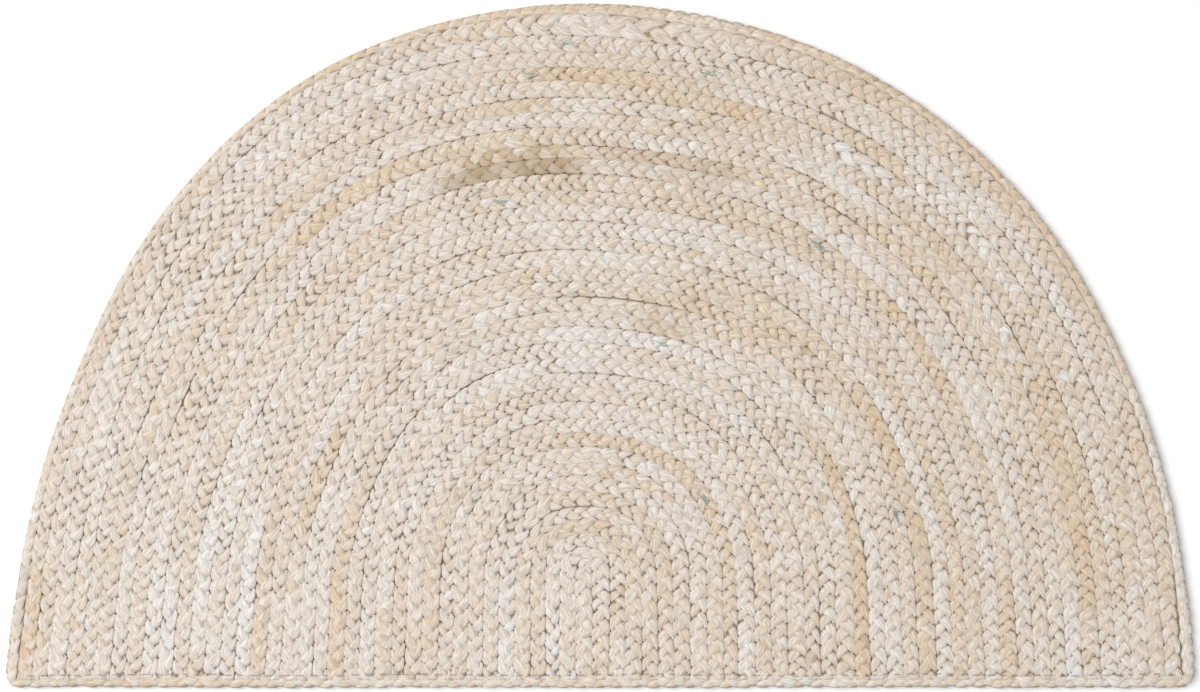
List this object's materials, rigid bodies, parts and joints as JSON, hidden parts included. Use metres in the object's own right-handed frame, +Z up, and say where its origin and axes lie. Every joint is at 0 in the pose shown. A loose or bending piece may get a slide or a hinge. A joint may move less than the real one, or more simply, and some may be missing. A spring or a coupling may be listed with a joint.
{
  "type": "half-moon plaited jute rug",
  "caption": "Half-moon floor rug of coiled three-strand jute plait, sewn row to row, its arc and its straight edge bound with a narrower plait set on edge.",
  "frame": {"origin": "on the floor, under the middle of the rug's box", "axes": "+X along the straight edge, +Y from the straight edge towards the crown of the arc, +Z up"},
  "size_m": [0.8996, 0.5174, 0.0094],
  "materials": {
    "jute_plait": "dry, matt natural fibre in ivory, sand and straw",
    "jute_edging": "dry, matt natural fibre in straw and pale gold",
    "sewing_thread": "matt spun thread, grey-beige"
  },
  "bodies": {
    "root": {"coiled_field": "jute_plait", "edging_plait": "jute_edging"}
  },
  "joints": []
}
